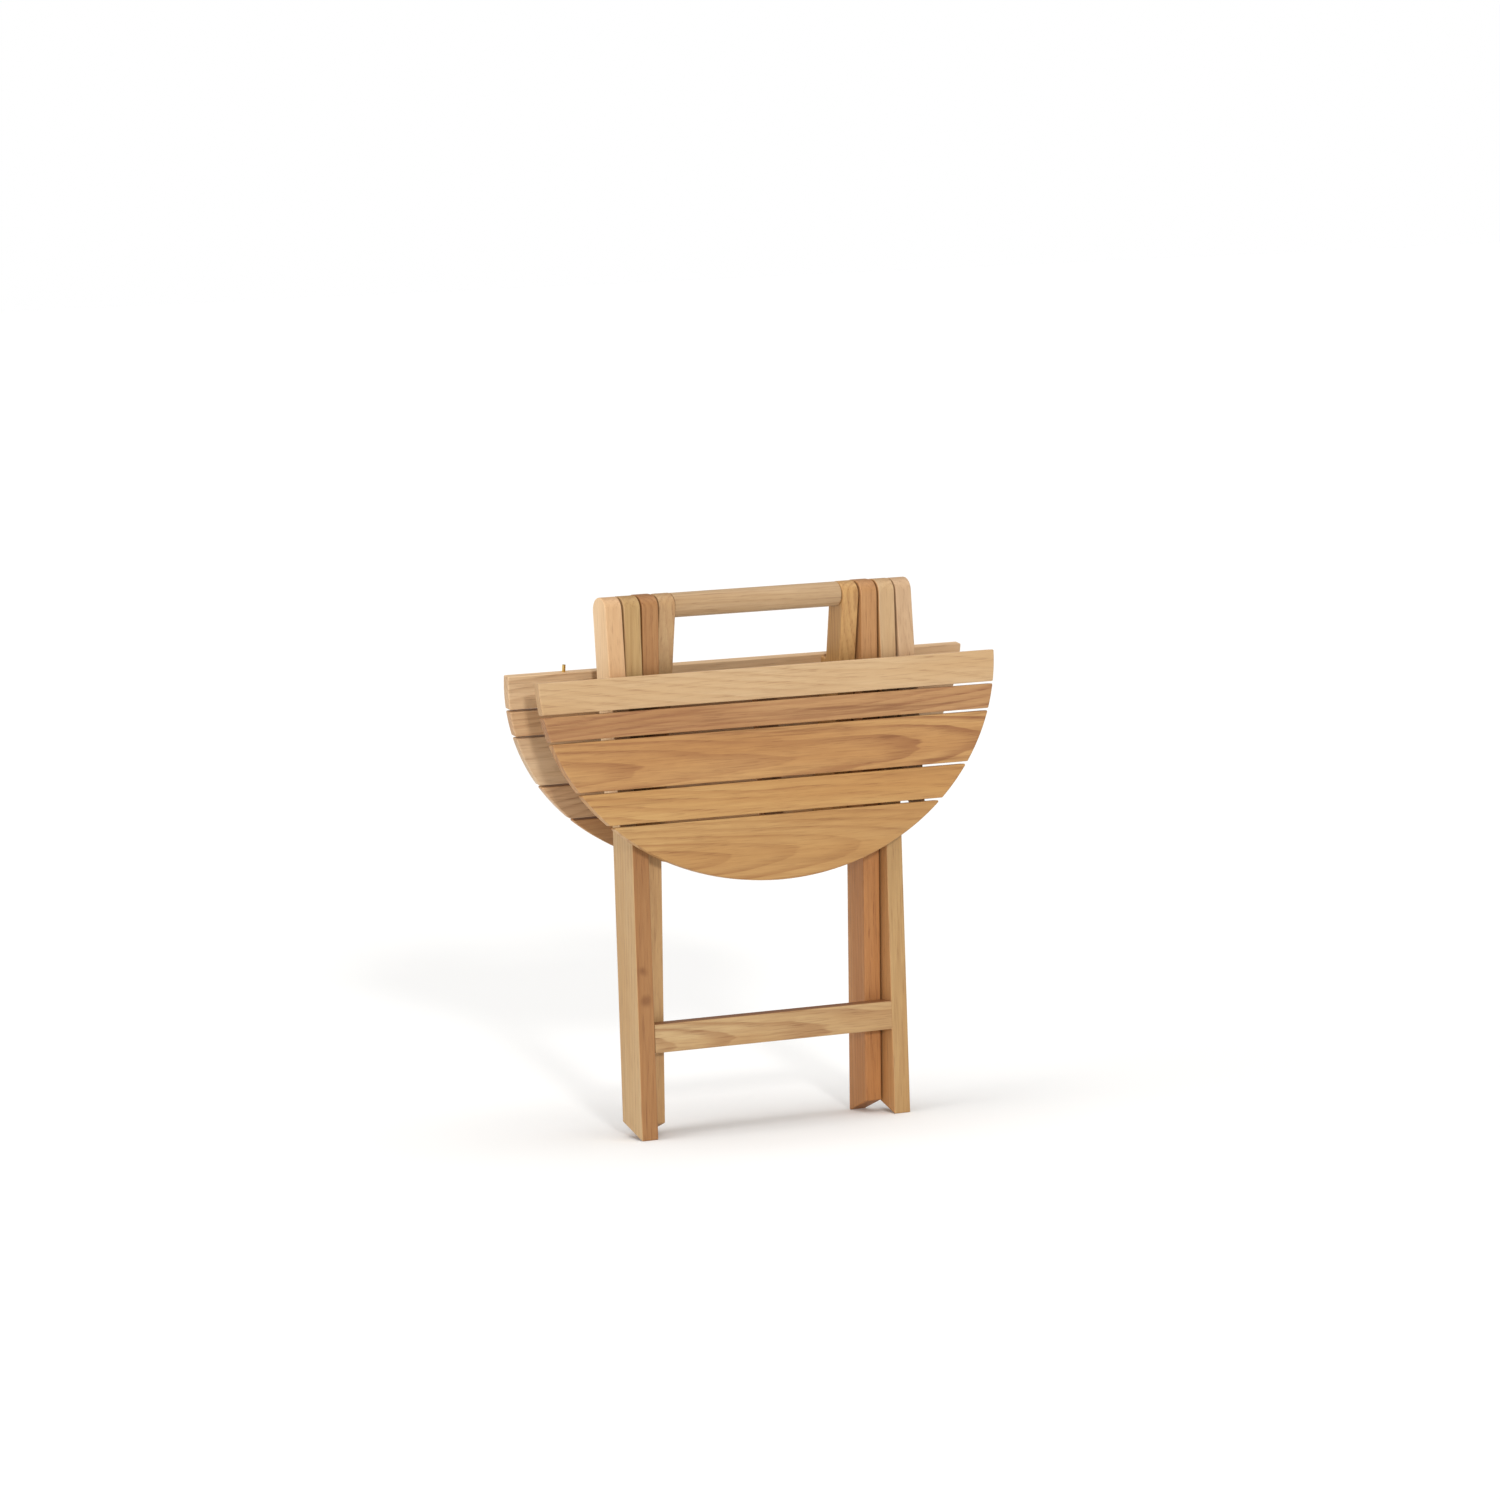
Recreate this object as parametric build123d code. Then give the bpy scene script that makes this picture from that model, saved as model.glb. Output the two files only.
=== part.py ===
from build123d import *
from math import cos, radians, sin, sqrt, tan
import os

# Folding tray table, folded and standing on its feet. Millimetres, +Z up, X along the handle rod,
# -Y towards the front half of the top. The origin is on the floor below the middle of the box.

# Tabletop: two slatted half-ovals that meet along X when the table is open
top_length = 500.0
top_depth = 416.0
centre_gap = 3.0
slat_gap = 2.2
slat_thickness = 10.0
front_gap_lines = [32.0, 58.0, 108.5, 142.0]
back_gap_lines = [34.0, 61.0, 111.5, 147.0]
slat_edge = 1.2

# Where each half sits on its battens: straight edge and underside, measured from its pivot
front_edge = 65.0
front_offset = 16.0
front_lean = 3.5
back_edge = 66.0
back_lean = 10.0

# Planks side by side at each end: back batten, inner leg, outer leg, front batten
plank = 17.7
plank_gap = 1.8
rod_span = 183.4
plank_edge = 1.2

# Pivot axis at the leg heads and the handle rod on it
axis_y = -18.955
axis_height = 514.0
rod_radius = 12.0
rod_gap = 0.4
tenon_radius = 7.0
tenon_depth = 14.0
head_top = 12.0
head_front = 15.0
head_radius = 13.0
outer_back_radius = 24.0

# Legs and the bolts they cross on
outer_depth = 41.0
inner_depth = 34.0
inner_lean = 2.6
outer_swing = 20.5
inner_swing = 20.0
cross_offset = 12.0
foot_easing = 0.53

# Stretcher rail between the outer legs
rail_bottom = 84.0
rail_height = 28.0
rail_thickness = 17.5
rail_tenon = [13.0, 8.0, 20.0]

# Battens
batten_back = 13.5
batten_head = 14.0
shoulder = 2.0
front_batten_end = 145.0
back_batten_end = 178.0
batten_end_slope = 24.0
centre_batten_width = 22.0
centre_batten_thickness = 11.0
centre_batten_start = 6.0
centre_batten_end = 196.0

# Brass pins in the back half's straight edge and the ferrules that take them in the front half
guide_x = 188.0
guide_radius = 1.65
guide_stand = 7.0
guide_sunk = 12.0
ferrule_bore = 1.75
ferrule_radius = 3.0
ferrule_depth = 11.0

# Hardware
running_clearance = 0.05
pin_radius = 4.0
pin_sunk = 13.0
bolt_radius = 3.0
bolt_head_radius = 6.5
bolt_head_sunk = 4.0
nut_flats = 10.0
nut_height = 4.0
nut_pocket = 5.0
washer_radius = 9.0
washer_thickness = 1.4
screw_radius = 1.75
screw_head_radius = 3.6
screw_head_depth = 2.2
screw_bite = 6.0
screw_length = 18.0
rod_screw_radius = 2.5

# Worked-out sizes
half_depth = (top_depth - centre_gap) / 2
out_sin = sin(radians(outer_swing))
out_cos = cos(radians(outer_swing))
in_sin = sin(radians(inner_swing))
in_cos = cos(radians(inner_swing))
head_spread = front_edge + back_edge - centre_gap
cross_drop = (head_spread + cross_offset * (out_cos - in_cos)) / (out_sin + in_sin)
head_step = cross_offset * (out_sin + in_sin) + cross_drop * (out_cos - in_cos)
back_offset = front_offset + head_step

# Places: each half has its own frame with +Y along it away from the pivot and +Z through it
outer_place = Location((0, axis_y, axis_height))
inner_place = Location((0, axis_y, axis_height), (inner_lean, 0, 0))
cross_place = Location((0, axis_y + cross_offset, axis_height - cross_drop))
front_place = Plane(
    origin=(0, axis_y, axis_height),
    x_dir=(-1, 0, 0),
    z_dir=(0, -cos(radians(front_lean)), sin(radians(front_lean))),
).location
back_place = Plane(
    origin=(0, axis_y, axis_height),
    x_dir=(1, 0, 0),
    z_dir=(0, cos(radians(back_lean)), sin(radians(back_lean))),
).location


def plank_start(place):
    """X of a plank's inner face, counting planks 0 to 3 outwards from the rod."""
    return rod_span / 2 + place * (plank + plank_gap)


back_batten_x = plank_start(0)
inner_leg_x = plank_start(1)
outer_leg_x = plank_start(2)
front_batten_x = plank_start(3)


def rod_x(radius, start, end, y=0.0, z=0.0):
    """A cylinder along X."""
    return Pos((start + end) / 2, y, z) * Rot(0, 90, 0) * Cylinder(radius, abs(end - start))


def rod_y(radius, start, end, x, z):
    """A cylinder along Y."""
    return Pos(x, (start + end) / 2, z) * Rot(90, 0, 0) * Cylinder(radius, abs(end - start))


def rod_z(radius, start, end, x, y):
    """A cylinder along Z."""
    return Pos(x, y, (start + end) / 2) * Cylinder(radius, abs(end - start))


def countersunk_screw(radius, length):
    """A screw along +Z with its flat head face at the origin."""
    head = Pos(0, 0, screw_head_depth / 2) * Cone(2 * radius + 0.1, radius, screw_head_depth)
    return head + rod_z(radius, screw_head_depth, length, 0, 0)


def eased_plank(corners, rounds, x_start):
    """A plank cut from a side view in the YZ plane, with the listed corners rounded."""
    wire = Polyline(*corners, close=True)
    face = Plane.YZ * make_face(wire)
    solid = Pos(x_start, 0, 0) * extrude(face, plank)
    for corner, radius in rounds:
        near = solid.edges().filter_by(Axis.X).sort_by_distance((x_start, *corner))[0]
        solid = fillet(near, radius)
    return fillet(solid.edges(), plank_edge)


def both_sides(solid):
    """A solid and its mirror image across the middle, as left and right."""
    return mirror(solid, Plane.YZ), solid


def leg(x_start, depth, back_radius, foot_front, foot_back):
    """A leg in the frame of its head, before any holes."""
    back = depth - head_front
    corners = [(-head_front, foot_front), (-head_front, head_top), (back, head_top),
               (back, foot_back)]
    rounds = [((-head_front, head_top), head_radius), ((back, head_top), back_radius)]
    return eased_plank(corners, rounds, x_start)


def outer_leg():
    """The outer leg is upright, and its foot is cut level for the open table."""
    foot_front = -axis_height - foot_easing
    foot_back = foot_front + outer_depth * tan(radians(outer_swing))
    inside, outside = outer_leg_x, outer_leg_x + plank
    solid = leg(inside, outer_depth, outer_back_radius, foot_front, foot_back)
    solid -= rod_x(pin_radius + running_clearance, outside - pin_sunk, outside + 1)
    solid = outer_place * (solid - rail_tenon_block())
    return solid - cross_place * crossing_bolt()


def inner_leg():
    """The inner leg leans back a little, and its foot is cut the other way."""
    lean = radians(inner_lean)
    back = inner_depth - head_front
    foot_back = -(axis_height + foot_easing + back * sin(lean)) / cos(lean)
    foot_front = foot_back + inner_depth * tan(radians(inner_swing + inner_lean))
    inside, outside = inner_leg_x, inner_leg_x + plank
    solid = leg(inside, inner_depth, head_radius, foot_front, foot_back)
    solid -= rod_x(tenon_radius, inside - 1, inside + tenon_depth)
    solid = inner_place * (solid - rod_screw())
    pocket = rod_x(bolt_head_radius, inside - 1, inside + nut_pocket)
    bore = rod_x(bolt_radius + running_clearance, inside - 1, outside + 1)
    return solid - cross_place * (bore + pocket)


def crossing_bolt():
    """The bolt the legs cross on, its flat head sunk into the outer leg."""
    outside = outer_leg_x + plank
    start = inner_leg_x + 0.5
    bolt = rod_x(bolt_radius, start, outside - 0.5)
    return bolt + rod_x(bolt_head_radius, outside - bolt_head_sunk, outside - 0.5)


def crossing_nut():
    """The nut on that bolt, in a pocket in the inner leg's inside face."""
    hexagon = RegularPolygon(nut_flats / 2, 6, major_radius=False)
    solid = extrude(hexagon, nut_height) - Cylinder(bolt_radius, 4 * nut_height)
    return Pos(inner_leg_x + 0.6, 0, 0) * Rot(0, 90, 0) * solid


def washer(x_start, bore):
    """A thin washer in the gap outside a plank."""
    ring = rod_x(washer_radius, x_start, x_start + washer_thickness)
    return ring - rod_x(bore, x_start - 1, x_start + 2)


def rail_tenon_block():
    """The tenon at the right-hand end of the stretcher rail."""
    length, thickness, height = rail_tenon
    middle_z = rail_bottom + rail_height / 2 - axis_height
    middle_y = rail_thickness / 2 - head_front
    return Pos(outer_leg_x + length / 2, middle_y, middle_z) * Box(length, thickness, height)


def stretcher_rail():
    """The rail that joins the outer legs and stops the inner ones."""
    middle_z = rail_bottom + rail_height / 2 - axis_height
    middle_y = rail_thickness / 2 - head_front
    rail = Pos(0, middle_y, middle_z) * Box(2 * outer_leg_x, rail_thickness, rail_height)
    rail = fillet(rail.edges().filter_by(Axis.X), plank_edge)
    left, right = both_sides(rail_tenon_block())
    return outer_place * (rail + left + right)


def rod_screw():
    """The screw through the inner leg into the rod's tenon."""
    head_x = inner_leg_x + plank - 0.3
    return Pos(head_x, 0, 0) * Rot(0, -90, 0) * countersunk_screw(rod_screw_radius, 38.0)


def handle_rod():
    """The carrying rod, with a smaller tenon at each end through batten and leg."""
    grip = rod_span / 2 - rod_gap
    reach = inner_leg_x + tenon_depth
    rod = fillet(rod_x(rod_radius, -grip, grip).edges(), 0.6)
    rod += rod_x(tenon_radius, -reach, reach)
    left, right = both_sides(rod_screw())
    return inner_place * (rod - left - right)


def slat_limits(number, gap_lines):
    """Where slat 1 to 5 starts and ends, measured from the straight edge to the rim."""
    starts = [0.0] + [line + slat_gap / 2 for line in gap_lines]
    ends = [line - slat_gap / 2 for line in gap_lines] + [half_depth]
    return starts[number - 1], ends[number - 1]


def slat(number, gap_lines, edge, underside):
    """One slat of a half-oval, in the half's own frame."""
    start, end = slat_limits(number, gap_lines)
    oval = Pos(0, edge - centre_gap / 2) * Ellipse(top_length / 2, top_depth / 2)
    strip = Pos(0, edge + (start + end) / 2) * Rectangle(top_length + 10, end - start)
    board = Pos(0, 0, underside) * extrude(oval & strip, slat_thickness)
    return fillet(board.edges(), slat_edge)


def batten(x_start, edge, underside, end):
    """A batten on its pivot: a rounded head, and a shoulder where the slats begin."""
    far = -batten_back
    corners = [(-head_top, far), (-head_top, batten_head), (edge + shoulder, batten_head),
               (edge + shoulder, underside), (edge + end, underside),
               (edge + end - batten_end_slope, far)]
    wire = Polyline(*corners, close=True)
    solid = Pos(x_start, 0, 0) * extrude(Plane.YZ * make_face(wire), plank)
    for corner in corners[:2]:
        near = solid.edges().filter_by(Axis.X).sort_by_distance((x_start, *corner))[0]
        solid = fillet(near, head_radius)
    long_edges = solid.edges().filter_by(Plane.YZ)
    return fillet(long_edges, plank_edge)


def screw_points(x, gap_lines, edge, end):
    """Middle of each slat on a batten, kept on the batten and off the slat's ends."""
    points = []
    for number in range(1, 6):
        start, stop = slat_limits(number, gap_lines)
        reach = min(stop, end)
        if reach - start > 3 * screw_head_radius:
            points.append((x, edge + (start + reach) / 2))
    return points


def slat_screws(points, underside):
    """Screws from below through a batten into the slats."""
    head_z = underside + screw_bite - screw_length
    screw = countersunk_screw(screw_radius, screw_length)
    return [Pos(x, y, head_z) * screw for x, y in points]


def screw_wells(points, underside):
    """The wells that sink those screws into the far side of a batten."""
    head_z = underside + screw_bite - screw_length
    return [rod_z(screw_head_radius, -batten_back - 5, head_z, x, y) for x, y in points]


def cut(solid, tools):
    """A solid with each tool taken away."""
    for tool in tools:
        solid -= tool
    return solid


# Front half, in its own frame; its X runs the other way, so its right-hand side is at -X
front_x = -front_batten_x - plank
front_middle_x = front_batten_x + plank / 2
front_batten = batten(front_x, front_edge, front_offset, front_batten_end)
front_points = screw_points(front_middle_x, front_gap_lines, front_edge, front_batten_end)
front_points_all = front_points + [(-x, y) for x, y in front_points]
centre_points = screw_points(0, front_gap_lines, front_edge, centre_batten_end)
centre_length = centre_batten_end - centre_batten_start
centre_batten = Pos(
    0,
    front_edge + centre_batten_start + centre_length / 2,
    front_offset - centre_batten_thickness / 2,
) * Box(centre_batten_width, centre_length, centre_batten_thickness)
centre_batten = fillet(centre_batten.edges().filter_by(Axis.Y), plank_edge)
short_screw = countersunk_screw(screw_radius, screw_bite + centre_batten_thickness - 0.5)
centre_screws = [Pos(x, y, front_offset + 0.5 - centre_batten_thickness) * short_screw
                 for x, y in centre_points]
front_screws = slat_screws(front_points_all, front_offset)
front_wells = screw_wells(front_points_all, front_offset)
pin_hole = rod_x(pin_radius, -front_batten_x - pin_sunk, -front_batten_x + 1)
front_batten = cut(front_batten, [pin_hole])
ferrules = []
for side in (-1, 1):
    middle_z = front_offset + slat_thickness / 2
    start = front_edge + 0.2
    sleeve = rod_y(ferrule_radius, start, start + ferrule_depth, side * guide_x, middle_z)
    ferrules.append(sleeve - rod_y(ferrule_bore, start - 1, start + ferrule_depth - 1,
                                   side * guide_x, middle_z))

parts = {}
for number in range(1, 6):
    board = slat(number, front_gap_lines, front_edge, front_offset)
    board = cut(board, front_screws + centre_screws)
    if number == 1:
        for side in (-1, 1):
            board -= rod_y(ferrule_radius, front_edge - 1, front_edge + 0.2 + ferrule_depth,
                           side * guide_x, front_offset + slat_thickness / 2)
    parts[f"front_slat_{number}"] = front_place * board
right_batten = cut(front_batten, front_screws + front_wells)
left_batten = cut(mirror(front_batten, Plane.YZ), front_screws + front_wells)
parts["front_batten_right"] = front_place * right_batten
parts["front_batten_left"] = front_place * left_batten
parts["front_centre_batten"] = front_place * cut(centre_batten, centre_screws)
parts["front_slat_screws"] = front_place * Compound(front_screws)
parts["front_centre_screws"] = front_place * Compound(centre_screws)
parts["guide_ferrules"] = front_place * Compound(ferrules)

# Back half, in its own frame
back_batten = batten(back_batten_x, back_edge, back_offset, back_batten_end)
back_batten -= rod_x(tenon_radius + running_clearance, back_batten_x - 1,
                     back_batten_x + plank + 1)
back_middle_x = back_batten_x + plank / 2
back_points = screw_points(back_middle_x, back_gap_lines, back_edge, back_batten_end)
back_points_all = back_points + [(-x, y) for x, y in back_points]
back_screws = slat_screws(back_points_all, back_offset)
back_wells = screw_wells(back_points_all, back_offset)
guides = [
    rod_y(guide_radius, back_edge - guide_stand, back_edge + guide_sunk, side * guide_x,
          back_offset + slat_thickness / 2)
    for side in (-1, 1)
]
for number in range(1, 6):
    board = cut(slat(number, back_gap_lines, back_edge, back_offset), back_screws)
    if number == 1:
        board = cut(board, guides)
    parts[f"back_slat_{number}"] = back_place * board
for name, solid in zip(("left", "right"), both_sides(back_batten)):
    parts[f"back_batten_{name}"] = back_place * cut(solid, back_screws + back_wells)
parts["back_slat_screws"] = back_place * Compound(back_screws)
parts["guide_pins"] = back_place * Compound(guides)

# Frames
for name, solid in zip(("left", "right"), both_sides(outer_leg())):
    parts[f"outer_leg_{name}"] = solid
for name, solid in zip(("left", "right"), both_sides(inner_leg())):
    parts[f"inner_leg_{name}"] = solid
parts["stretcher"] = stretcher_rail()
parts["handle_rod"] = handle_rod()

# Hardware, in pairs
pivot_pin = rod_x(pin_radius, outer_leg_x + plank - pin_sunk + 0.5, front_batten_x + pin_sunk)
gap_middle = (plank_gap - washer_thickness) / 2
rod_bore = tenon_radius + running_clearance
pairs = {
    "pivot_pins": outer_place * pivot_pin,
    "pivot_washers": outer_place * washer(outer_leg_x + plank + gap_middle, pin_radius),
    "rod_washers": outer_place * washer(back_batten_x + plank + gap_middle, rod_bore),
    "rod_screws": inner_place * rod_screw(),
    "crossing_bolts": cross_place * crossing_bolt(),
    "crossing_nuts": cross_place * crossing_nut(),
    "crossing_washers": cross_place * washer(inner_leg_x + plank + gap_middle, bolt_radius),
}
for name, solid in pairs.items():
    parts[name] = Compound(list(both_sides(solid)))

os.makedirs("parts", exist_ok=True)
for name, solid in parts.items():
    export_step(solid, f"parts/{name}.step")

whole = Compound(list(parts.values())).bounding_box()
print("box", whole.min, whole.max)
print("cross drop", cross_drop, "back offset", back_offset)
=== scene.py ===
from math import cos, radians, sin

import bpy
from mathutils import Matrix, Vector


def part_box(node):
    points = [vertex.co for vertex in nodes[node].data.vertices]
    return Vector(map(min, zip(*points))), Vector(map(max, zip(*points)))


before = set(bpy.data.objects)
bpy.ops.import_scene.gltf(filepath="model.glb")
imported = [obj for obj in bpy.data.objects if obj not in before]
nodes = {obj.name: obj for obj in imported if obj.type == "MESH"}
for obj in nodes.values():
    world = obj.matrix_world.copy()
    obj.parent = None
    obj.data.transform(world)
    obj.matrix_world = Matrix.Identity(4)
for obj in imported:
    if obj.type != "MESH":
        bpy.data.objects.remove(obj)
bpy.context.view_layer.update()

# Turns that lay the grain of a board along X
GRAIN_TURNS = {"X": (0.0, 0.0, 0.0), "Z": (0.0, radians(90), 0.0)}

# How far a board's seed shifts its pattern along each axis, so that no two boards are alike
SEED_SHIFT = (1.37, 0.73, 2.11)

# Metres that the heart line wanders by along a board, and that a growth ring ripples by
HEART_WANDER = 0.035
RING_RIPPLE = 0.0045

# Where late wood starts, is darkest and begins to end, as parts of one growth ring
LATE_START, LATE_DARKEST, LATE_END = 0.38, 0.9, 0.93

# How strongly each kind of mark darkens the wood, and how far it sinks the surface
FIBRE_DEPTH, MOTTLE_DEPTH, PORE_DEPTH, KNOT_DEPTH = 0.26, 0.12, 0.46, 0.55
LATE_SINK, PORE_SINK = -0.3, -0.7

# Tints of the light wood in its warmer patches, of the dark wood in pores, streaks and knots, and
# of end grain, with the share of dark wood in the warmer patches
HONEY, BROWN, END_GRAIN = (1.0, 0.92, 0.8), (0.55, 0.42, 0.36), (0.88, 0.8536, 0.836)
WARM_SHARE = 0.38

# Roughness where the wood is smoothest, and how much fibres and tone add to it
WOOD_ROUGH, WOOD_ROUGH_SPREAD = 0.42, 0.10

# A knot's dark middle, its outer radius and its ragged edge, in metres
KNOT_MIDDLE, KNOT_REACH, KNOT_EDGE = 0.0025, 0.009, 0.003

# Heights between which a leg's colour changes to that of its lower end, in metres; the change is partly
# the wood's own tone and partly painted light and shade
FOOT_TONE_TOP, FOOT_TONE_BOTTOM = 0.44, 0.26

# How squarely a face looks along a direction where its tint starts, and where it is full: for end grain,
# and for the painted light and shade on left and top faces
END_FACING, PAINTED_LIGHT_FACING = (0.7, 0.95), (0.4, 0.9)


def linear(colour):
    """An sRGB colour from 0 to 255 as linear RGBA."""
    return (*(((c / 255 + 0.055) / 1.055) ** 2.4 for c in colour), 1.0)


def times(colour, tint):
    """A linear RGBA colour with its red, green and blue scaled."""
    return (*(a * b for a, b in zip(colour, tint)), 1.0)


class Graph:
    """A short way to add nodes to a material and link them."""

    def __init__(self, name):
        self.material = bpy.data.materials.new(name)
        self.material.use_nodes = True
        self.nodes = self.material.node_tree.nodes
        self.links = self.material.node_tree.links
        self.shader = self.nodes["Principled BSDF"]

    def add(self, kind, inputs=(), **settings):
        """A new node, with its inputs set or linked and its settings made."""
        node = self.nodes.new(kind)
        for key, value in settings.items():
            setattr(node, key, value)
        for key, value in dict(inputs).items():
            self.put(node.inputs[key], value)
        return node

    def put(self, socket, value):
        """Links an output to a socket, or sets the socket to a constant."""
        if isinstance(value, bpy.types.NodeSocket):
            self.links.new(value, socket)
        else:
            socket.default_value = value

    def surface(self, **inputs):
        """The material with the shader's inputs put in; _ stands for a space in their names."""
        for key, value in inputs.items():
            self.put(self.shader.inputs[key.replace("_", " ")], value)
        return self.material

    def math(self, operation, a, b=0.0, c=0.0):
        node = self.add("ShaderNodeMath", operation=operation)
        for socket, value in zip(node.inputs, (a, b, c)):
            self.put(socket, value)
        return node.outputs[0]

    def scaled_sum(self, value, factor, offset):
        """value * factor + offset"""
        return self.math("MULTIPLY_ADD", value, factor, offset)

    def noise(self, vector, stretch, detail=3.0, rough=0.55):
        """Noise that repeats about stretch times in each metre."""
        mapped = self.add("ShaderNodeMapping", {"Vector": vector, "Scale": stretch})
        node = self.add("ShaderNodeTexNoise", {"Vector": mapped.outputs[0], "Scale": 1.0,
                                               "Detail": detail, "Roughness": rough})
        return node.outputs[0]

    def level(self, factor, low, high):
        """Grey from 0 below low to 1 above high, or from 1 to 0 where low is the larger."""
        node = self.add("ShaderNodeMapRange", {"Value": factor, "From Min": low, "From Max": high},
                        interpolation_type="SMOOTHSTEP")
        return node.outputs[0]

    def mix(self, factor, a, b, blend="MIX"):
        """Colour a where factor is 0, and b where it is 1."""
        node = self.add("ShaderNodeMix", data_type="RGBA", blend_type=blend)
        self.put(node.inputs[0], factor)
        self.put(node.inputs[6], a)
        self.put(node.inputs[7], b)
        return node.outputs[2]

    def tinted(self, colour, tint):
        """A colour socket with its red, green and blue scaled."""
        return self.mix(1.0, colour, (*tint, 1.0), blend="MULTIPLY")

    def split(self, vector):
        """The X, Y and Z of a vector."""
        return self.add("ShaderNodeSeparateXYZ", {"Vector": vector}).outputs


def board_space(graph, node, grain, seed):
    """The object's own places, and places from the board's middle: as they are and shifted."""
    low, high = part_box(node)
    middle = [-(a + b) / 2 for a, b in zip(low, high)]
    place = graph.add("ShaderNodeTexCoord")
    centred = graph.add("ShaderNodeMapping", {"Vector": place.outputs["Object"], "Location": middle})
    turned = graph.add("ShaderNodeMapping", {"Vector": centred.outputs[0],
                                             "Rotation": GRAIN_TURNS[grain]})
    shift = [seed * step for step in SEED_SHIFT]
    shifted = graph.add("ShaderNodeMapping", {"Vector": turned.outputs[0], "Location": shift})
    return place.outputs, turned.outputs[0], shifted.outputs[0]


def growth_rings(graph, board, shifted, spacing, heart, tilt):
    """Late wood from 0 to 1: rings about a heart line that drifts along the board."""
    wander = graph.noise(shifted, (1.7, 7.0, 7.0), detail=1.5)
    ripple = graph.noise(shifted, (7.0, 70.0, 70.0))
    along, across, through = graph.split(board)
    drift = graph.scaled_sum(wander, HEART_WANDER, graph.scaled_sum(along, tilt, heart[0]))
    depth = graph.math("ADD", across, drift)
    side = graph.math("ADD", through, heart[1])
    squares = graph.math("ADD", graph.math("POWER", depth, 2.0), graph.math("POWER", side, 2.0))
    radius = graph.scaled_sum(ripple, RING_RIPPLE, graph.math("SQRT", squares))
    ring = graph.math("FRACT", graph.math("DIVIDE", radius, spacing))
    drop = graph.math("SUBTRACT", 1.0, graph.level(ring, LATE_END, 1.0))
    late = graph.math("MULTIPLY", graph.level(ring, LATE_START, LATE_DARKEST), drop)
    patch = graph.level(graph.noise(shifted, (3.0, 26.0, 26.0), detail=2.0), 0.32, 0.68)
    return graph.math("MULTIPLY", late, graph.scaled_sum(patch, 0.6, 0.4))


def wood_marks(graph, shifted, late):
    """Fibres, pores, dark streaks, mottling and the slow change of tone, each from 0 to 1."""
    fibre = graph.noise(shifted, (16.0, 430.0, 430.0), rough=0.6)
    fleck = graph.noise(shifted, (34.0, 1000.0, 1000.0), detail=2.0)
    tone = graph.level(graph.noise(shifted, (2.4, 22.0, 22.0)), 0.3, 0.7)
    band = graph.level(graph.noise(shifted, (4.5, 130.0, 130.0), detail=4.0, rough=0.6), 0.52, 0.66)
    zone = graph.level(graph.noise(shifted, (3.5, 18.0, 18.0), detail=1.0), 0.42, 0.62)
    mottle = graph.level(graph.noise(shifted, (38.0, 90.0, 90.0)), 0.35, 0.7)
    pores = graph.math("MULTIPLY", graph.level(fleck, 0.54, 0.66), graph.scaled_sum(late, 0.6, 0.4))
    return fibre, pores, graph.math("MULTIPLY", band, zone), mottle, tone


def shade_faces(graph, place, colour, grain, left, top, foot):
    """Tints by direction and height: end grain, the lower end (own tone and painted light and shade),
    painted light and shade on the left face, and painted shade on the top face.
    """
    normal = graph.split(place["Normal"])
    along = graph.math("ABSOLUTE", normal["XYZ".index(grain)])
    plain = graph.mix(graph.level(along, *END_FACING), colour, graph.tinted(colour, END_GRAIN))
    shaded = plain
    # The lower end: partly the wood's own tone, partly painted light and shade
    if foot:
        height = graph.split(place["Object"])[2]
        low = graph.level(height, FOOT_TONE_TOP, FOOT_TONE_BOTTOM)
        shaded = graph.mix(low, shaded, graph.tinted(plain, foot))
    # Painted light and shade on the faces towards -X
    if left:
        facing = graph.math("MULTIPLY", normal[0], -1.0)
        shaded = graph.mix(graph.level(facing, *PAINTED_LIGHT_FACING), shaded, graph.tinted(plain, left))
    # Painted shade on the faces towards +Z
    if top:
        shaded = graph.mix(graph.level(normal[2], *PAINTED_LIGHT_FACING), shaded, graph.tinted(plain, top))
    return shaded


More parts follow.
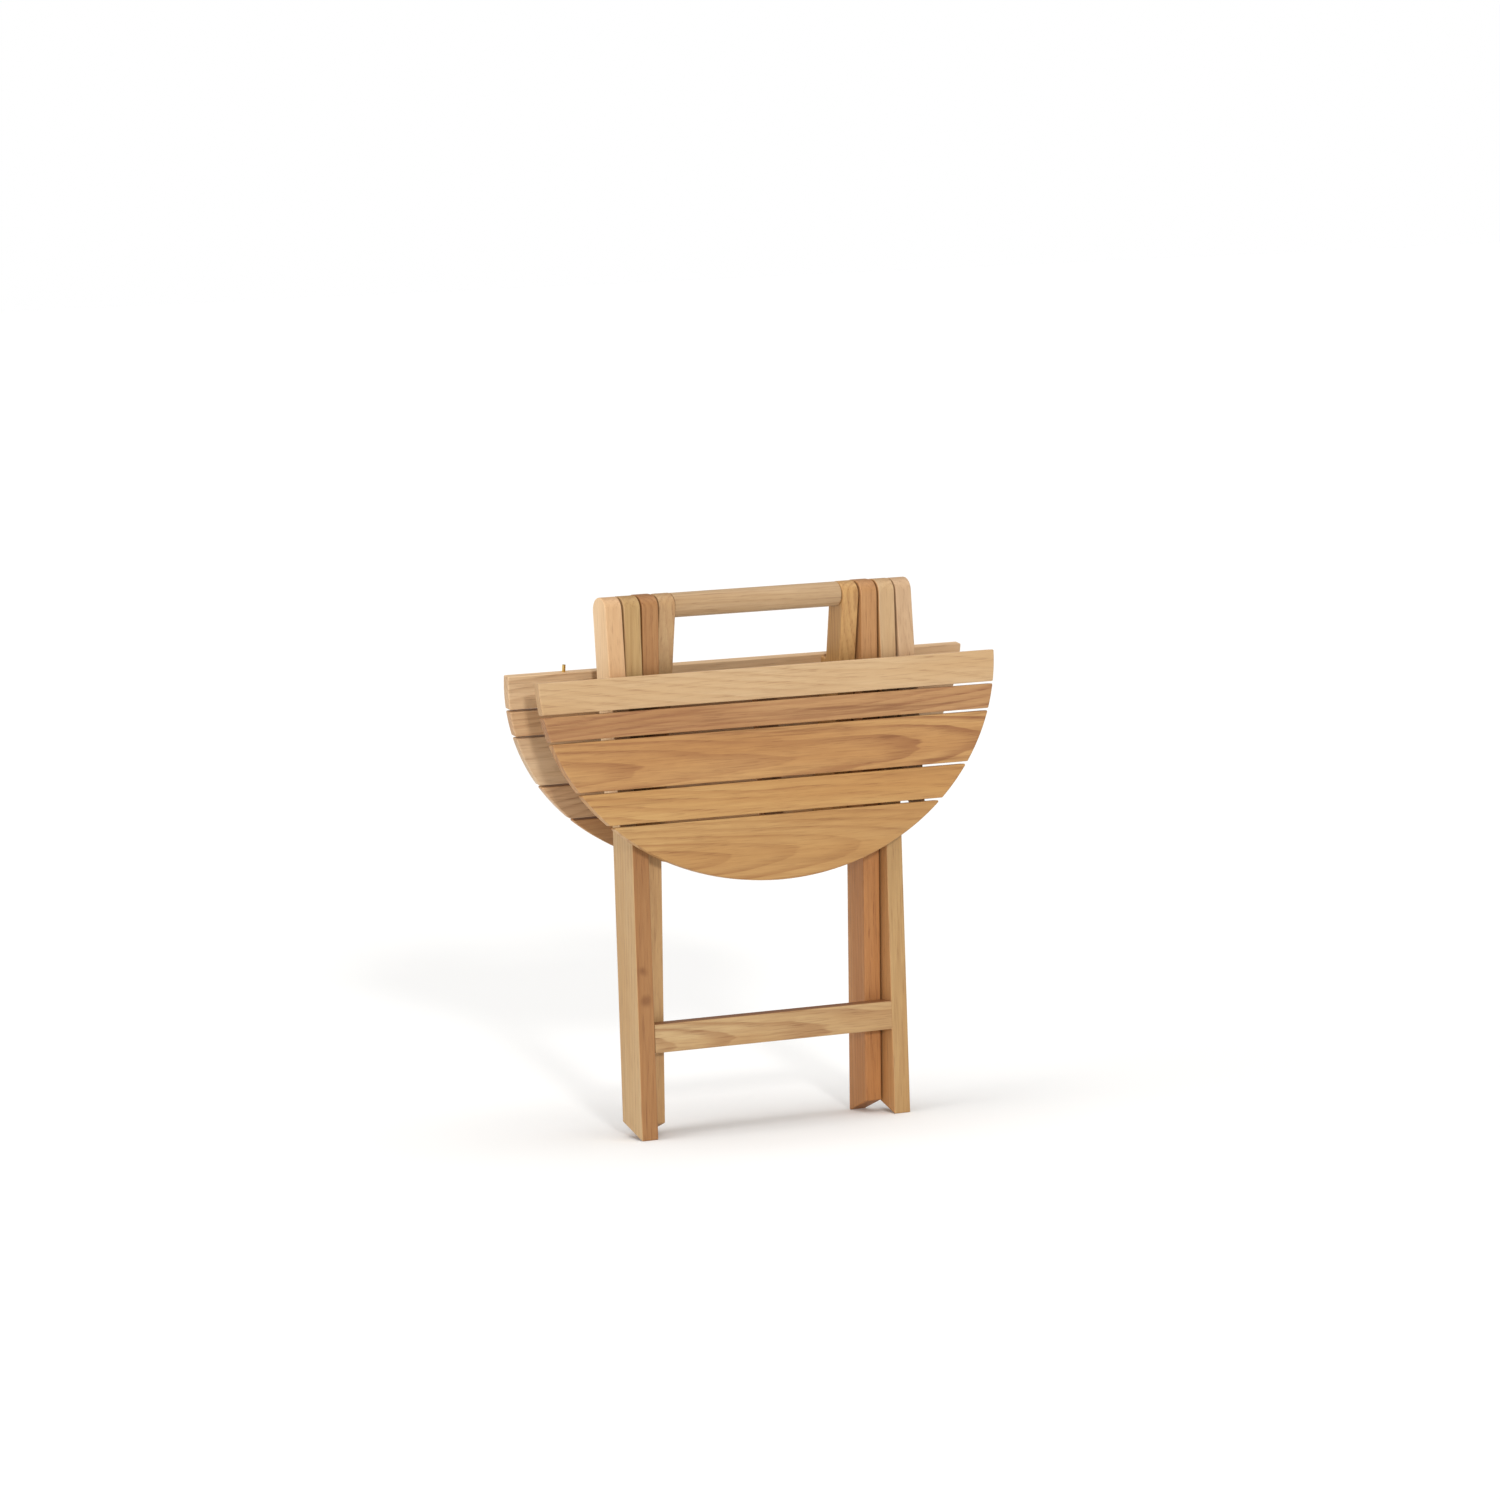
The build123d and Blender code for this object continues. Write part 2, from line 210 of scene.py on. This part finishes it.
def wood(node, grain, light, dark, seed, spacing=0.0045, heart=(0.05, 0.02), figure=0.55, tilt=0.05,
         streaks=0.25, left=None, top=None, foot=None, knots=()):
    """An oiled hardwood board.

    spacing is the width of a growth ring, heart is how far the middle of the tree lies across and
    through the board from its middle, in metres, and tilt is the slope between them. figure and
    streaks say how strongly late wood and dark streaks show. left tints the faces towards -X with
    painted light and shade, top tints the faces towards +Z with painted shade, foot tints the lower
    end partly as the wood's own tone and partly as painted light and shade, and knots lists the
    places of small dark knots.
    """
    graph = Graph(node + "_wood")
    place, board, shifted = board_space(graph, node, grain, seed)
    late = growth_rings(graph, board, shifted, spacing, heart, tilt)
    fibre, pores, band, mottle, tone = wood_marks(graph, shifted, late)

    pale, deep = linear(light), linear(dark)
    warm = [(1 - WARM_SHARE) * a + WARM_SHARE * b for a, b in zip(times(pale, HONEY), deep)]
    brown = times(deep, BROWN)
    colour = graph.mix(tone, pale, warm)
    for mark, strength, shade in (
            (late, figure, deep), (graph.level(fibre, 0.34, 0.7), FIBRE_DEPTH, deep),
            (mottle, MOTTLE_DEPTH, deep), (band, streaks, brown), (pores, PORE_DEPTH, brown)):
        colour = graph.mix(graph.math("MULTIPLY", mark, strength), colour, shade)
    for knot in knots:
        away = graph.add("ShaderNodeVectorMath", {0: place["Object"], 1: knot}, operation="DISTANCE")
        ragged = graph.scaled_sum(mottle, KNOT_EDGE, away.outputs["Value"])
        spot = graph.math("SUBTRACT", 1.0, graph.level(ragged, KNOT_MIDDLE, KNOT_REACH))
        colour = graph.mix(graph.math("MULTIPLY", spot, KNOT_DEPTH), colour, brown)
    # End grain, and painted light and shade on some faces and on the lower end
    colour = shade_faces(graph, place, colour, grain, left, top, foot)

    rough = graph.scaled_sum(graph.math("ADD", fibre, tone), WOOD_ROUGH_SPREAD, WOOD_ROUGH)
    relief = graph.scaled_sum(pores, PORE_SINK, graph.scaled_sum(late, LATE_SINK, fibre))
    bump = graph.add("ShaderNodeBump", {"Height": relief, "Strength": 0.35, "Distance": 0.0004})
    return graph.surface(Base_Color=colour, Roughness=rough, Normal=bump.outputs[0],
                         Specular_IOR_Level=0.35)


def metal(name, colour, tint, rough, scratch):
    """Turned metal with fine tool marks and a little tarnish."""
    graph = Graph(name)
    place = graph.add("ShaderNodeTexCoord").outputs["Object"]
    tarnish = graph.level(graph.noise(place, (160.0, 160.0, 160.0), detail=4.0), 0.35, 0.75)
    marks = graph.noise(place, scratch)
    shade = graph.mix(tarnish, linear(colour), linear(tint))
    uneven = graph.scaled_sum(graph.math("ADD", marks, tarnish), 0.14, rough)
    bump = graph.add("ShaderNodeBump", {"Height": marks, "Strength": 0.2, "Distance": 0.0001})
    return graph.surface(Base_Color=shade, Roughness=uneven, Normal=bump.outputs[0], Metallic=1.0)


def finish_node(name, material):
    """Gives a CAD node one material on every slot it has."""
    mesh = nodes[name].data
    if not mesh.materials:
        mesh.materials.append(material)
    for index in range(len(mesh.materials)):
        mesh.materials[index] = material


# Each board's grain, its light and dark wood, its place in the tree and its own marks, and on some
# boards painted light and shade on the left face, the top face and the lower end
BOARDS = {
    "front_slat_1": dict(grain="X", light=(203, 173, 134), dark=(181, 145, 104), seed=1.3, spacing=0.004,
                         heart=(0.09, 0.05), figure=0.5, tilt=0.06, streaks=0.1),
    "front_slat_2": dict(grain="X", light=(184, 142, 96), dark=(143, 94, 61), seed=2.7, spacing=0.004,
                         heart=(0.08, -0.06), figure=0.5, tilt=0.04, streaks=0.6),
    "front_slat_3": dict(grain="X", light=(194, 151, 97), dark=(146, 97, 59), seed=4.1, spacing=0.0055,
                         heart=(0.020, 0.004), figure=0.85, tilt=0.05, streaks=0.6),
    "front_slat_4": dict(grain="X", light=(194, 154, 98), dark=(163, 115, 68), seed=5.9, spacing=0.004,
                         heart=(0.07, 0.04), figure=0.5, tilt=0.03, streaks=0.2),
    "front_slat_5": dict(grain="X", light=(194, 156, 102), dark=(155, 109, 64), seed=7.2, spacing=0.0062,
                         heart=(0.014, 0.006), figure=0.85, tilt=0.08, streaks=0.15),
    "back_slat_1": dict(grain="X", light=(216, 186, 148), dark=(184, 148, 112), seed=8.4,
                        heart=(-0.07, 0.03)),
    "back_slat_2": dict(grain="X", light=(209, 175, 135), dark=(175, 134, 98), seed=9.6,
                        heart=(-0.05, 0.03)),
    "back_slat_3": dict(grain="X", light=(215, 190, 156), dark=(180, 147, 115), seed=10.8,
                        heart=(-0.02, 0.006), tilt=0.1, figure=0.5),
    "back_slat_4": dict(grain="X", light=(208, 175, 137), dark=(169, 130, 96), seed=11.5,
                        heart=(-0.05, 0.02), tilt=0.1),
    "back_slat_5": dict(grain="X", light=(204, 166, 120), dark=(166, 118, 80), seed=12.9,
                        heart=(-0.025, 0.01), tilt=0.1),
    # Painted light on the left face; the darker lower end is partly the wood's own tone, partly painted
    # shade
    "outer_leg_left": dict(grain="Z", light=(189, 159, 110), dark=(161, 124, 79), seed=14.3,
                           heart=(0.06, 0.05), figure=0.3, streaks=0.12, left=(1.06, 1.07, 1.21),
                           foot=(0.74, 0.54, 0.45),
                           knots=((-0.142, -0.034, 0.165), (-0.139, -0.034, 0.136))),
    # Painted shade on the left face; the darker lower end is partly the wood's own tone, partly painted
    # shade
    "outer_leg_right": dict(grain="Z", light=(199, 169, 129), dark=(171, 134, 96), seed=15.1,
                            heart=(0.07, 0.03), figure=0.3, streaks=0.12, left=(0.89, 0.69, 0.5),
                            foot=(0.85, 0.77, 0.6)),
    # Painted light on the lower end, lifting it out of the shade between the legs
    "inner_leg_left": dict(grain="Z", light=(173, 128, 82), dark=(142, 94, 55), seed=16.7,
                           heart=(0.05, -0.04), figure=0.35, foot=(1.26, 1.52, 1.75)),
    # The lower end's tint is partly the wood's own tone and partly painted light
    "inner_leg_right": dict(grain="Z", light=(186, 139, 91), dark=(148, 99, 60), seed=17.9,
                            heart=(0.05, 0.045), figure=0.35, foot=(1.07, 1.01, 0.93)),
    # Painted shadow on the top face
    "stretcher": dict(grain="X", light=(196, 166, 121), dark=(151, 108, 69), seed=19.2,
                      heart=(0.02, 0.004), figure=0.6, tilt=0.06, top=(0.6, 0.42, 0.34)),
    "handle_rod": dict(grain="X", light=(191, 163, 128), dark=(156, 122, 85), seed=20.4,
                       heart=(0.06, 0.05), figure=0.35, tilt=0.02, streaks=0.15),
    # Painted light on the left face
    "front_batten_left": dict(grain="Z", light=(216, 182, 142), dark=(188, 146, 106), seed=21.6,
                              heart=(0.06, 0.04), figure=0.3, streaks=0.08, left=(1.16, 1.26, 1.36)),
    "front_batten_right": dict(grain="Z", light=(204, 176, 145), dark=(177, 143, 109), seed=22.8,
                               heart=(0.06, -0.04), figure=0.3, streaks=0.08),
    "front_centre_batten": dict(grain="Z", light=(196, 150, 108), dark=(160, 110, 72), seed=23.5),
    "back_batten_left": dict(grain="Z", light=(189, 156, 113), dark=(158, 116, 78), seed=24.7,
                             heart=(0.05, 0.03), figure=0.35),
    "back_batten_right": dict(grain="Z", light=(200, 160, 104), dark=(164, 117, 70), seed=25.9,
                              heart=(0.05, 0.03), figure=0.5),
}

for name, look in BOARDS.items():
    finish_node(name, wood(name, **look))

brass = metal("turned_brass", (236, 206, 128), (190, 146, 74), 0.22, (2500.0, 40.0, 40.0))
steel = metal("bright_steel", (205, 204, 200), (150, 147, 142), 0.26, (2500.0, 60.0, 60.0))
for name in nodes:
    if name.startswith("guide_"):
        finish_node(name, brass)
    elif name not in BOARDS:
        finish_node(name, steel)


def link_new(name, data):
    """A new object in the scene that holds this data."""
    made = bpy.data.objects.new(name, data)
    bpy.context.scene.collection.objects.link(made)
    return made


def set_camera():
    """The photograph's point of view, from the front and a little to the left.

    The camera looks at the aim, and then moves across and up without turning, in metres.
    """
    turn, rise, roll = radians(28.0), radians(5.2), radians(-1.9)
    distance, lens, sensor = 6.875, 169.872, 36.0
    pivot_y, aim_height = -0.018955, 0.3
    moved_across, moved_up = -0.010199, 0.067118
    aim = Vector((0.0, pivot_y, aim_height))
    forward = Vector((sin(turn) * cos(rise), cos(turn) * cos(rise), -sin(rise)))
    right = Vector((cos(turn), -sin(turn), 0.0))
    up = right.cross(forward)
    across = right * cos(roll) + up * sin(roll)
    upward = up * cos(roll) - right * sin(roll)
    matrix = Matrix((across, upward, -forward)).transposed().to_4x4()
    matrix.translation = aim - forward * distance + across * moved_across + upward * moved_up
    data = bpy.data.cameras.new("camera")
    data.sensor_fit = "HORIZONTAL"
    data.sensor_width = sensor
    data.lens = lens
    data.clip_end = 100.0
    camera = link_new("camera", data)
    camera.matrix_world = matrix
    bpy.context.scene.camera = camera


def add_floor():
    """A wide pale floor, a little uneven in tone."""
    reach = 30.0
    greys = (0.93, 0.93, 0.925, 1.0), (0.95, 0.95, 0.95, 1.0)
    corners = [(-reach, -reach, 0), (reach, -reach, 0), (reach, reach, 0), (-reach, reach, 0)]
    mesh = bpy.data.meshes.new("floor")
    mesh.from_pydata(corners, [], [(0, 1, 2, 3)])
    floor = link_new("floor", mesh)
    graph = Graph("pale_floor")
    place = graph.add("ShaderNodeTexCoord").outputs["Object"]
    shade = graph.mix(graph.noise(place, (0.6, 0.6, 0.6)), *greys)
    mesh.materials.append(graph.surface(Base_Color=shade, Roughness=0.9, Specular_IOR_Level=0.1))


def add_surround():
    """A dim warm surround that lights the object, and looks white to the camera."""
    world = bpy.data.worlds.new("studio")
    world.use_nodes = True
    tree = world.node_tree
    lighting = tree.nodes["Background"]
    shown = tree.nodes.new("ShaderNodeBackground")
    for background, colour, strength in (
            (lighting, (1.0, 0.985, 0.96, 1.0), 0.36), (shown, (1.0, 1.0, 1.0, 1.0), 1.0)):
        background.inputs["Color"].default_value = colour
        background.inputs["Strength"].default_value = strength
    path = tree.nodes.new("ShaderNodeLightPath")
    mix = tree.nodes.new("ShaderNodeMixShader")
    tree.links.new(path.outputs["Is Camera Ray"], mix.inputs[0])
    tree.links.new(lighting.outputs[0], mix.inputs[1])
    tree.links.new(shown.outputs[0], mix.inputs[2])
    tree.links.new(mix.outputs[0], tree.nodes["World Output"].inputs["Surface"])
    bpy.context.scene.world = world


def sun(name, place, power, spread, colour):
    """A distant light from that place, as wide as its spread in degrees."""
    data = bpy.data.lights.new(name, "SUN")
    data.energy = power
    data.angle = radians(spread)
    data.color = colour
    lamp = link_new(name, data)
    lamp.rotation_euler = (-Vector(place)).to_track_quat("-Z", "Y").to_euler()


set_camera()
add_floor()
add_surround()
sun("key", (-0.29, -0.93, 0.29), 1.3, 5.0, (1.0, 0.985, 0.965))
sun("left", (-1.0, -0.1, 0.35), 1.05, 45.0, (1.0, 0.985, 0.96))
sun("top", (0.0, -0.1, 1.0), 1.75, 60.0, (1.0, 1.0, 1.0))
bpy.context.scene.view_settings.view_transform = "Standard"
